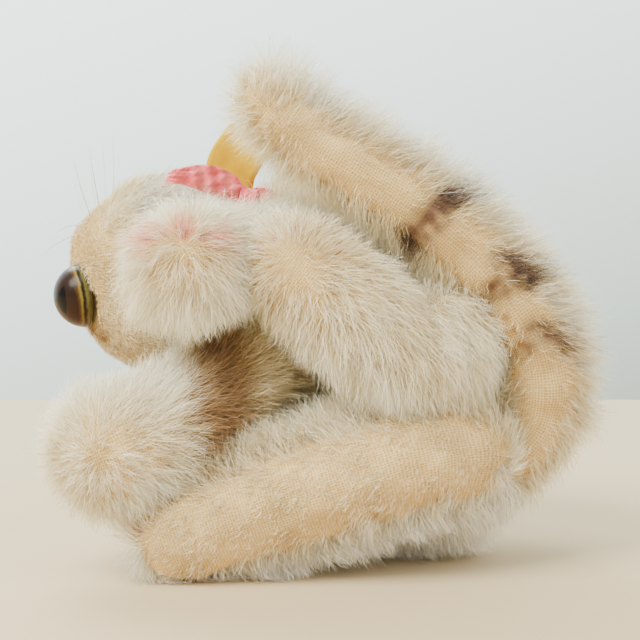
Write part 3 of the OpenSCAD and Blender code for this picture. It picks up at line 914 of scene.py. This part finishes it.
SKINS = [  # a part, the stem of its nodes' names, its surface, hairs to the mm2, its style, and what hides it
    ("torso", "body", torso, 6.0, style_torso, [left_front, right_front, left_hind, right_hind, tail]),
    ("tail", "tail", tail, 10.5, style_tail, [torso, right_hind]),
    ("left_front_leg", "left_front_leg", left_front, 10.5, style_left_front, [torso]),
    ("right_front_leg", "right_front_leg", right_front, 11.0, style_right_front, [torso]),
    ("left_hind_leg", "left_hind_leg", left_hind, 10.0, style_left_hind, [torso]),
    ("right_hind_leg", "right_hind_leg", right_hind, 9.5, style_right_hind, [torso]),
    ("head", "head", head, 11.0, style_head, []),
]
for k, (part, stem, surface, density, style, hidden_in) in enumerate(SKINS):
    body, slot = ("head", "short_mohair") if part == "head" else ("body", "long_mohair")
    skin = piece(part + "_skin", body, [surface.grid], CLOTH, [stem + "_cover", stem + "_stuffing"])
    tint_mesh(skin, surface.grid.reshape(-1, 3), part)
    grow(part, body, surface, density, style, hidden_in, 1000 + k)


# ---- threads and strips
def round_ends(t):
    """The thickness of a thread at shares of its length."""
    return np.sqrt(np.clip(1 - np.abs(2 * t - 1) ** 6, 0.04, 1))


def tapered(t):
    return 1 - 0.75 * t


def tube(path, radius, profile=round_ends, spokes=10):
    """A thread or hair along a smooth path, as rings."""
    line = smooth_line(path, max(radius, 0.2))
    tangent = unit(np.gradient(line, axis=0))
    arc = distances(line)
    angles = full_turn(spokes)[:, None]
    side = unit(np.cross(tangent[0], [0.31, 0.87, 0.39]))
    rings = []
    for c, t, r in zip(line, tangent, radius * profile(arc / arc[-1])):
        side = unit(side - t * (side @ t))
        rings.append(c + r * (np.cos(angles) * side + np.sin(angles) * np.cross(t, side)))
    return np.array(rings)


def strip(path, across, width, thickness, columns=14, crease=None):
    """A strip of cloth along a path, as rings round its cross-sections: its front, then its back."""
    path = np.asarray(path, float)
    tangent = unit(np.gradient(path, axis=0))
    across = np.broadcast_to(across, path.shape)
    across = unit(across - tangent * dot(across, tangent)[:, None])
    normal = np.cross(tangent, across)[:, None]
    x = np.linspace(-0.5, 0.5, columns)[None, :] * np.broadcast_to(width, len(path))[:, None]
    middle = path[:, None] + across[:, None] * x[..., None]
    if crease is not None:
        middle = middle + normal * crease(middle.reshape(-1, 3)).reshape(x.shape)[..., None]
    half = normal * thickness / 2
    return np.concatenate([middle + half, (middle - half)[:, ::-1]], axis=1)


def thread_material(name, rgb, worn, ply):
    """Twisted thread: slanting plies with painted shade in the grooves between them, rubbed paler in places.
    """
    m = Nodes(name)
    twist = m.half_wave(m.math("ADD", *m.weave()), ply)
    rubbed = m.times(m.noise(900.0, detail=3.0), 0.9)
    # painted shade: the grooves between the plies are darker
    dark = tuple(c * 0.62 for c in rgb)
    colour = m.mix(twist, rgba(dark), m.mix(rubbed, rgba(rgb), rgba(worn)))
    return m.set(Base_Color=colour, Roughness=0.6, Normal=m.bump(twist, 0.00008, 0.9), Sheen_Weight=0.2)


def satin_material(name):
    """Pink satin with fine cross ribs. Where it is rubbed through, its grey-brown weft shows."""
    m = Nodes(name)
    across, along = m.weave()
    rib = m.half_wave(along, 0.36)
    cloth = m.scaled(rib, 0.8, m.times(m.half_wave(across, 0.16), 0.2))
    rubbed = m.climb(m.noise(420.0, detail=5.0, rough=0.65), 0.56, 0.76, top=0.5)
    pinks = [(0.3, (234, 84, 96)), (0.5, (243, 106, 114)), (0.72, (250, 136, 138))]
    pink = m.ramp(m.noise(300.0, detail=3.0), pinks)
    colour = m.mix(m.times(rubbed, rib), pink, rgba((160, 128, 114)))
    rough = m.scaled(rubbed, 0.4, 0.36)
    return m.set(Base_Color=colour, Roughness=rough, Normal=m.bump(cloth, 0.00005, 0.5), Sheen_Weight=0.2)


def label_material(name):
    """Yellow cotton in a plain weave, faded and a little soiled."""
    m = Nodes(name)
    over, under = (m.wave(part, 0.36) for part in m.weave())
    cloth = m.scaled(m.times(over, under), 0.5, 0.5)
    yellows = [(0.3, (198, 150, 0)), (0.5, (220, 176, 0)), (0.7, (230, 190, 0))]
    tint = m.ramp(m.noise(170.0, detail=4.0), yellows)
    colour = m.mix(m.times(cloth, 0.3), tint, rgba((170, 124, 0)))
    return m.set(
        Base_Color=colour, Roughness=0.85, Normal=m.bump(cloth, 0.00008, 0.8), Specular_IOR_Level=0.12
    )


IRIS = [  # from the rim to the middle
    (0.00, (58, 52, 30)), (0.14, (112, 104, 56)), (0.20, (44, 36, 22)),
    (0.25, (18, 13, 11)), (0.31, (140, 122, 50)), (0.37, (86, 58, 26)),
    (0.45, (42, 25, 17)), (0.80, (44, 27, 21)), (1.00, (40, 25, 19)),
]
PUPIL_ASIDE = 0.50  # how far the thick glass shows the pupil to the side, as a share of its radius


def along_head(m, side):
    """Places in an eye as shares of its radius: towards where it looks, towards the crown, and across."""
    look = HEAD_TURN @ eye_gaze(side)
    crown = unit(HEAD_TURN[:, 2] - look * (HEAD_TURN[:, 2] @ look))
    centre = row(lying(eye_root(side)))
    found = []
    for way in (look, crown, np.cross(crown, look)):
        far = m.vector("DOT_PRODUCT", m.place(), tuple(way / (EYE_R * MM)))["Value"]
        found.append(m.math("SUBTRACT", far, float(centre @ way) / (EYE_R * MM)))
    return found


def eye_material(name, side):
    """A glass dome over its painted back: brown, gold and olive at the rim, with an upright slit pupil."""
    m = Nodes(name)
    look, crown, across = along_head(m, side)
    uneven = m.scaled(m.noise(420.0, detail=3.0), 0.16, -0.08)
    iris = m.ramp(m.math("ADD", look, m.scaled(crown, 0.06, uneven)), IRIS)
    red = m.times(m.math("MAXIMUM", crown, 0.0), 0.5)
    iris = m.mix(red, iris, rgba((84, 30, 18)))
    streak = m.times(m.noise(1500.0, detail=4.0), 0.30)
    iris = m.mix(streak, iris, rgba((24, 16, 14)))
    aside = m.math("SUBTRACT", across, side * PUPIL_ASIDE)
    slit = m.math("SUBTRACT", 1.0, m.times(m.times(crown, crown), 4.6))
    slit = m.math("SUBTRACT", slit, m.times(m.math("ABSOLUTE", aside), 5.5))
    pupil = m.times(m.climb(slit, -0.04, 0.12), m.math("GREATER_THAN", look, 0.2))
    colour = m.mix(pupil, iris, rgba((7, 6, 6)))
    return m.set(
        Base_Color=colour, Roughness=0.32, Specular_IOR_Level=0.1,
        Coat_Weight=0.14, Coat_Roughness=0.2, Coat_IOR=1.45,
    )


def metal_material(name, rgb, rust):
    m = Nodes(name)
    spots = m.noise(1400.0, detail=5.0, rough=0.6)
    colour = m.mix(m.times(spots, rust), rgba(rgb), rgba((120, 70, 38)))
    rough = m.scaled(spots, 0.3, 0.25)
    return m.set(Base_Color=colour, Roughness=rough, Metallic=0.85, Normal=m.bump(spots, 0.00003, 0.5))


def fibre_card():
    m = Nodes("fibre_card")
    flecks = m.noise(2600.0, detail=6.0, rough=0.7)
    clouds = m.noise(300.0, detail=3.0)
    colour = m.ramp(flecks, [(0.35, (112, 80, 50)), (0.5, (150, 116, 78)), (0.66, (188, 158, 118))])
    colour = m.mix(m.times(clouds, 0.4), colour, rgba((120, 92, 62)))
    return m.set(Base_Color=colour, Roughness=0.85, Normal=m.bump(flecks, 0.00008, 0.7))


def enamel_material(name, stops):
    m = Nodes(name)
    colour = m.ramp(m.noise(800.0, detail=4.0), stops)
    return m.set(Base_Color=colour, Roughness=0.25, Coat_Weight=0.6, Coat_Roughness=0.08)


def dress(material, *nodes):
    """Gives CAD nodes that keep their own meshes a material."""
    for name in nodes:
        materials = frame["nodes"][name].data.materials
        materials.clear()
        materials.append(material)


dress(fibre_card(), "body_joint_disc", "head_joint_disc")
dress(metal_material("washer_steel", (150, 147, 142), 0.45), "body_joint_washer", "head_joint_washer")
dress(metal_material("pin_steel", (118, 114, 110), 0.6), "cotter_pin", "left_eye_shank", "right_eye_shank")
GOLD = [(0.3, (120, 100, 34)), (0.5, (158, 140, 56)), (0.7, (92, 60, 44))]
BLACK = [(0.3, (6, 6, 6)), (0.7, (16, 14, 14))]
dress(enamel_material("gold_enamel", GOLD), "left_eye_enamel", "right_eye_enamel")
dress(enamel_material("black_enamel", BLACK), "left_eye_pupil", "right_eye_pupil")

# ---- eyes and ears
def turned_to(v):
    """The matrix that turns +Z to v, as the CAD part turns what stands on the head."""
    v = unit(v)
    return turned(0, degrees(acos(v[2])), degrees(atan2(v[1], v[0])))


DOME_RISE, DOME_RINGS, DOME_SPOKES = 0.98, 36, 64
for name, side in SIDES.items():
    turn = turned_to(eye_gaze(side))
    rise = np.radians(np.concatenate([np.linspace(89.5, 4, DOME_RINGS), [0.0]]))
    rings = [(EYE_R * cos(a), EYE_R * sin(a) * DOME_RISE + 0.1) for a in rise]
    rings += [(EYE_R - 0.25, -0.15)]
    dome = np.array([[[r * cos(a), r * sin(a), z] for a in full_turn(DOME_SPOKES)] for r, z in rings])
    dome = lying(eye_root(side) + dome.reshape(-1, 3) @ turn.T).reshape(dome.shape)
    glass = eye_material(f"{name}_eye_glass_dome", side)
    piece(f"{name}_eye_dome", "head", [dome], glass, [f"{name}_eye_glass"])

EAR_PLACE, EAR_ROOT, EAR_H, EAR_W = (117, 56), 20.2, 11.0, 13.0
EAR_ROWS, EAR_COLUMNS = 26, 18


def ear_grid(side, lift, thickness, inset):
    """One layer of an ear: a rounded triangle that is cupped towards the face."""
    stand = aim(side * EAR_PLACE[0], EAR_PLACE[1])
    turn = turned_to(stand) @ turned(90, 0, 90 - side * 96)
    t = np.linspace(0, 1, EAR_ROWS)
    width = (EAR_W - 2 * inset) * np.sqrt(np.clip(1 - t**1.7, 0.012, 1)) * (1 - 0.18 * t)
    path = np.stack([0 * t, t * (EAR_H - inset), 1.1 * np.sin(1.2 * t)], axis=1)
    x = np.linspace(-0.5, 0.5, EAR_COLUMNS)[None, :, None]
    middle = path[:, None] + np.array([1.0, 0, 0]) * x * width[:, None, None]
    edge = (2 * x[..., 0]) ** 2
    middle[..., 2] += 2.1 * edge * (1 - 0.5 * t)[:, None] + lift
    middle[..., 1] -= 1.2 * edge * (1 - t)[:, None]
    flat = np.array([0, 0, thickness / 2])
    grid = np.concatenate([middle + flat, (middle - flat)[:, ::-1]], axis=1)
    upright_grid = EAR_ROOT * stand + grid.reshape(-1, 3) @ turn.T
    return lying(upright_grid).reshape(grid.shape), HEAD_TURN @ turn[:, 2]


def style_ear(outward, hue, tone):
    """Short hair on the outward side of one layer of an ear."""

    def style(s, look):
        look.comb = s.along
        look.length = 1.7 + 0.3 * field(s.p, 4, 171)
        look.lift[:] = 0.3
        look.fall[:] = 0.0
        look.keep = (dot(s.n, outward) > -0.2) * 1.0
        look.hue[:] = hue
        look.tone = tone + 0.05 * field(s.p, 3, 172)
        look.tuft, look.lock, look.pull, look.width = 0.7, 1.6, 0.3, 0.085

    return style


EAR_LAYERS = [
    ("back", 0.55, 1.1, 0.0, -1, CREAM, 0.64, "short_mohair"),
    ("lining", 1.5, 0.6, 0.4, 1, PINK, 0.96, "ear_lining"),
]
for name, side in SIDES.items():
    for layer, lift, thickness, inset, way, hue, tone, slot in EAR_LAYERS:
        grid, out = ear_grid(side, lift, thickness, inset)
        skin = piece(f"{name}_ear_{layer}_skin", "head", [grid], CLOTH, [f"{name}_ear_{layer}"])
        tint_mesh(skin, grid.reshape(-1, 3), "ear")
        surface = Surface(grid, np.array([[*HEAD, 20.0]]))
        style = style_ear(way * out, hue, tone)
        grow(f"{name}_ear_{layer}", "head", surface, 9.0, style, [], 1100 + side)

# ---- nose, mouth, whiskers, claws and seam
PALE_PINK = thread_material("nose_floss", (226, 168, 152), (240, 206, 190), 0.5)
CLAW_PINK = thread_material("claw_floss", (240, 150, 134), (248, 202, 186), 0.45)
LINEN = thread_material("linen_thread", (206, 184, 142), (232, 216, 184), 0.6)

stitches = []
for k in range(-4, 5):  # upright stitches side by side, longest in the middle
    half = 3.5 - 0.24 * abs(k) - 0.03 * k * k
    stitches.append([on_face(1.05 * k, e, 0.22) for e in np.linspace(-5 - half, -5 + half, 5)])
piece("nose", "head", [tube(lying(q), 0.25) for q in stitches], PALE_PINK, ["nose_stitching"])
stitches = [[on_face(0, e, 0.2) for e in (-9.5, -12, -14.5, -17)]]
LIP = [(1.2, -17.4), (4, -18.6), (6.5, -20.4), (9, -22.8)]
for side in (-1, 1):
    stitches.append([on_face(side * a, e, 0.2) for a, e in LIP])
piece("mouth", "head", [tube(lying(q), 0.2) for q in stitches], PALE_PINK, ["mouth_stitching"])


def whisker_material():
    m = Nodes("whisker_filament")
    colour = m.ramp(m.noise(500.0), [(0.3, (214, 208, 192)), (0.7, (238, 235, 226))])
    return m.set(Base_Color=colour, Roughness=0.3)


WHISKER = whisker_material()
for name, side in SIDES.items():
    grids = []
    for k in range(4):
        root = on_face(side * (17 + 3 * k), -26 - 5 * k, -0.3)
        out = aim(side * (70 + 6 * k), -2 - 16 * k)
        bend = np.array([0.1, 0, -0.9 if side > 0 or k > 1 else 0.4]) - 0.35 * out
        reach = 17.0 - k
        path = [root + reach * (t * out + 0.5 * t * t * bend) for t in (0, 0.25, 0.5, 0.75, 1)]
        grids.append(tube(lying(path), 0.14, tapered, 8))
    piece(f"{name}_whisker_hairs", "head", grids, WHISKER, [f"{name}_whiskers"])

CLAWS = [  # a paw, its line, where its toes point and which way they spread
    ("left_front", LEFT_FRONT, (0, -0.7, 0.7), (1, 0, 0)),
    ("right_front", RIGHT_FRONT, (-0.85, -0.35, -0.35), (0, 0.3, 1)),
    ("left_hind", LEFT_HIND, (-0.4, -0.65, 0.65), (1, 0, 0.5)),
    ("right_hind", RIGHT_HIND, (-0.95, 0.1, 0.25), (0, 1, 0)),
]
FLOSS = [(-1.5, -0.3), (-0.7, 0.45), (0.3, 0.6), (1.5, -0.2)]  # along a claw, and up from the paw
for name, line, toe, spread in CLAWS:
    middle, r = np.array(line[0][:3]), line[0][3]
    grids = []
    for k in (-1, 0, 1):
        d = unit(np.array(toe, float) + 0.45 * k * np.array(spread, float))
        lie = unit(np.cross(np.cross(d, [0, -1, 0]), d))
        beside = np.cross(lie, d)
        for strand in (-0.32, 0.0, 0.32):
            grids.append(tube([middle + (r + up) * d + a * lie + strand * beside for a, up in FLOSS], 0.16))
    piece(f"{name}_claw_floss", "body", grids, CLAW_PINK, [f"{name}_claws"])

SEAM_AT, SEAM_WAY = np.array(TORSO[-1][:3]), np.array([0.25, 0, 1])
STITCH = [(-1.2, -0.3, -0.3), (-0.4, -0.1, 0.5), (0.4, 0.2, 0.55), (1.2, 0.4, -0.3)]  # along, beside and up
grids = []
for k in range(5):
    out = unit([0.09 * k, -1, -0.12])
    lie = unit(SEAM_WAY - out * (out @ unit(SEAM_WAY)) * 0.5)
    beside = np.cross(lie, out)
    at = SEAM_AT + 19.6 * out
    grids.append(tube([at + a * lie + b * beside + up * out for a, b, up in STITCH], 0.22))
piece("closing_stitches", "body", grids, LINEN, ["closing_seam"])

# ---- ribbon, bow and label
SATIN = satin_material("pink_satin")
RIBBON_W, RIBBON_T, RING_R = 4.6, 0.22, 13.8
BOW_AT = np.array([-14.5, 27, 70.4])


def creases(depth, size, seed):
    """How far cloth is creased out of its plane at points."""
    return lambda p: depth * (0.7 * field(p, size, seed) + 0.3 * field(p, size * 0.4, seed + 1))


middle = NECK - 1.7 * NECK_AXIS
to_bow = unit(BOW_AT - NECK - ((BOW_AT - NECK) @ NECK_AXIS) * NECK_AXIS)
turns = np.radians(np.linspace(3, 357, 120))[:, None]
ring = middle + RING_R * (np.cos(turns) * to_bow + np.sin(turns) * np.cross(NECK_AXIS, to_bow))
band = strip(ring, NECK_AXIS, RIBBON_W, RIBBON_T, crease=creases(0.14, 5, 301))
band = piece("neck_ribbon_band", "body", [band], SATIN, ["neck_ribbon"])


def bow_loop(direction, length, rise, seed):
    """A loop of the bow: out from the knot and back, arched upward, gathered at the knot and crumpled."""
    d = unit(np.array(direction, float))
    level = unit(np.array([-d[1], d[0], 0]))
    x1, x2, x3 = length * 0.45, length * 0.75, length * 0.93
    outline = [
        (0.3, -0.35), (2.4, -1.0), (x1, -1.5), (x2, -1.75), (x3, -1.3), (length, 0),
        (x3, 1.2), (x2, 1.5), (x1, 1.3), (2.4, 0.8), (0.3, 0.35),
    ]
    points = [BOW_AT + x * d + y * level + [0, 0, rise * sin(pi * x / length)] for x, y in outline]
    points = smooth_line(points, 0.3)
    far = 1 - np.abs(2 * np.linspace(0, 1, len(points)) - 1)
    width = RIBBON_W * (0.6 + 0.6 * ease(far, 0.0, 0.3)) * (1 - 0.6 * ease(far, 0.45, 1.0))
    return strip(points, np.cross(d, level), width, RIBBON_T, 18, creases(0.42, 2.6, seed))


knot_axis = unit([-0.92, -0.05, 0.2])
knot_side = unit(np.cross(knot_axis, [0, 0, 1]))
knot_up = np.cross(knot_axis, knot_side)
turns = np.radians(np.linspace(0, 352, 40))[:, None]
knot = BOW_AT + 1.6 * np.cos(turns) * knot_side + 2.1 * np.sin(turns) * knot_up
bow = [
    bow_loop((-0.95, -0.2, 0.26), 16.4, 2.0, 311), bow_loop((0.7, 0.62, -0.34), 7.5, 0.6, 321),
    strip(knot, knot_axis, 3.4, 0.25, 12, creases(0.18, 1.6, 331)),
]
piece("bow", "body", bow, SATIN, ["ribbon_bow"])

LABEL_AT, LABEL_H, LEAF, FOLD_R = np.array([-23.6, 38.6, 74.4]), 12.5, 10.5, 0.75
outline = [(x, -FOLD_R) for x in np.linspace(LEAF, 1.1, 10)]
outline += [(0.9 + FOLD_R * cos(a), FOLD_R * sin(a)) for a in np.radians(np.linspace(270, 90, 13))]
outline += [(x, FOLD_R) for x in np.linspace(1.1, LEAF, 10)]
label = strip([(x, y, LABEL_H / 2) for x, y in outline], (0, 0, 1), LABEL_H, 0.28, 22)
rise = np.clip(label[..., 2] / LABEL_H, 0, 1)
label[..., 0] -= 1.3 * np.sin(pi * rise**0.8)
uneven = 0.12 * field(label.reshape(-1, 3), 4, 341).reshape(rise.shape)
label[..., 1] += 0.35 * np.sin(2.2 * rise + 0.3 * label[..., 0]) + uneven
label = LABEL_AT + label @ turned(-3, 25, 0).T
label = piece("folded_label", "body", [label], label_material("yellow_cotton"), ["neck_label"])

# ---- stage
def slab(name, corners, rgb, dim_rgb, way, start, end, glow=0.0):
    """A plain flat surface whose colour changes evenly from start to end along a direction, in metres. With
    glow, it also shines in that colour, as painted light.
    """
    ob = new_mesh(name, np.array(corners, float), range(4), [0], [])
    m = Nodes(name)
    share = m.climb(m.vector("DOT_PRODUCT", m.place(), way)["Value"], start, end)
    colour = m.mix(share, rgba(rgb), rgba(dim_rgb))
    m.set(Base_Color=colour, Roughness=0.85)
    if glow:
        m.set(Emission_Color=colour, Emission_Strength=glow)
    ob.data.materials.append(m.mat)


FLOOR_END, WALL_Y, WALL_GLOW = (226 + SHIFT[1]) * MM, 1.4, 2.1
floor = [(-4, -4, 0), (4, -4, 0), (4, FLOOR_END, 0), (-4, FLOOR_END, 0)]
wall = [(-3, WALL_Y, -1), (3, WALL_Y, -1), (3, WALL_Y, 3), (-3, WALL_Y, 3)]
slab("pale_floor", floor, (208, 185, 146), (205, 188, 158), (0.0, 1.0, 0.0), -0.1, FLOOR_END)
# The wall is painted light: it glows, bright at the upper left and falling to a darker grey at the lower
# right.
slab("wall", wall, (236, 252, 249), (150, 159, 149), (0.35, 0.0, -1.0), -0.30, 0.28, WALL_GLOW)

world = bpy.data.worlds.new("studio")
bpy.context.scene.world = world
world.use_nodes = True
sky = world.node_tree.nodes["Background"].inputs
sky["Color"].default_value = (0.85, 0.87, 0.81, 1)
sky["Strength"].default_value = 1.0

LIGHT_SIZE = 0.5


def area_light(name, place, toward, power, rgb):
    data = bpy.data.lights.new(name, "AREA")
    data.shape, data.size, data.energy, data.color = "DISK", LIGHT_SIZE, power, rgb
    ob = placed(name, data)
    ob.location = place
    d = unit(np.array(toward, float) - np.array(place, float))
    ob.rotation_euler = (acos(-d[2]), 0, atan2(d[0], -d[1]) + pi)


area_light("window", (-0.45, -0.35, 0.65), (0, 0, 0.04), 13.9, (1.0, 0.995, 0.89))
area_light("back_window", (-0.25, 0.55, 0.6), (0, 0, 0.05), 6.8, (0.97, 1.0, 0.95))
area_light("right_fill", (0.6, -0.3, 0.35), (0, 0, 0.04), 3.2, (1.0, 0.98, 0.90))

CAMERA_FAR, CAMERA_TILT, PICTURE_MIDDLE = 0.330, radians(6), [0, 0, 49]
camera = placed("camera", bpy.data.cameras.new("camera"))
camera.data.lens, camera.data.sensor_width, camera.data.clip_start = 100, 36, 0.01
back = np.array([0, -cos(CAMERA_TILT), sin(CAMERA_TILT)])
camera.location = row(PICTURE_MIDDLE) + CAMERA_FAR * back
camera.rotation_euler = (pi / 2 - CAMERA_TILT, 0, 0)
bpy.context.scene.camera = camera
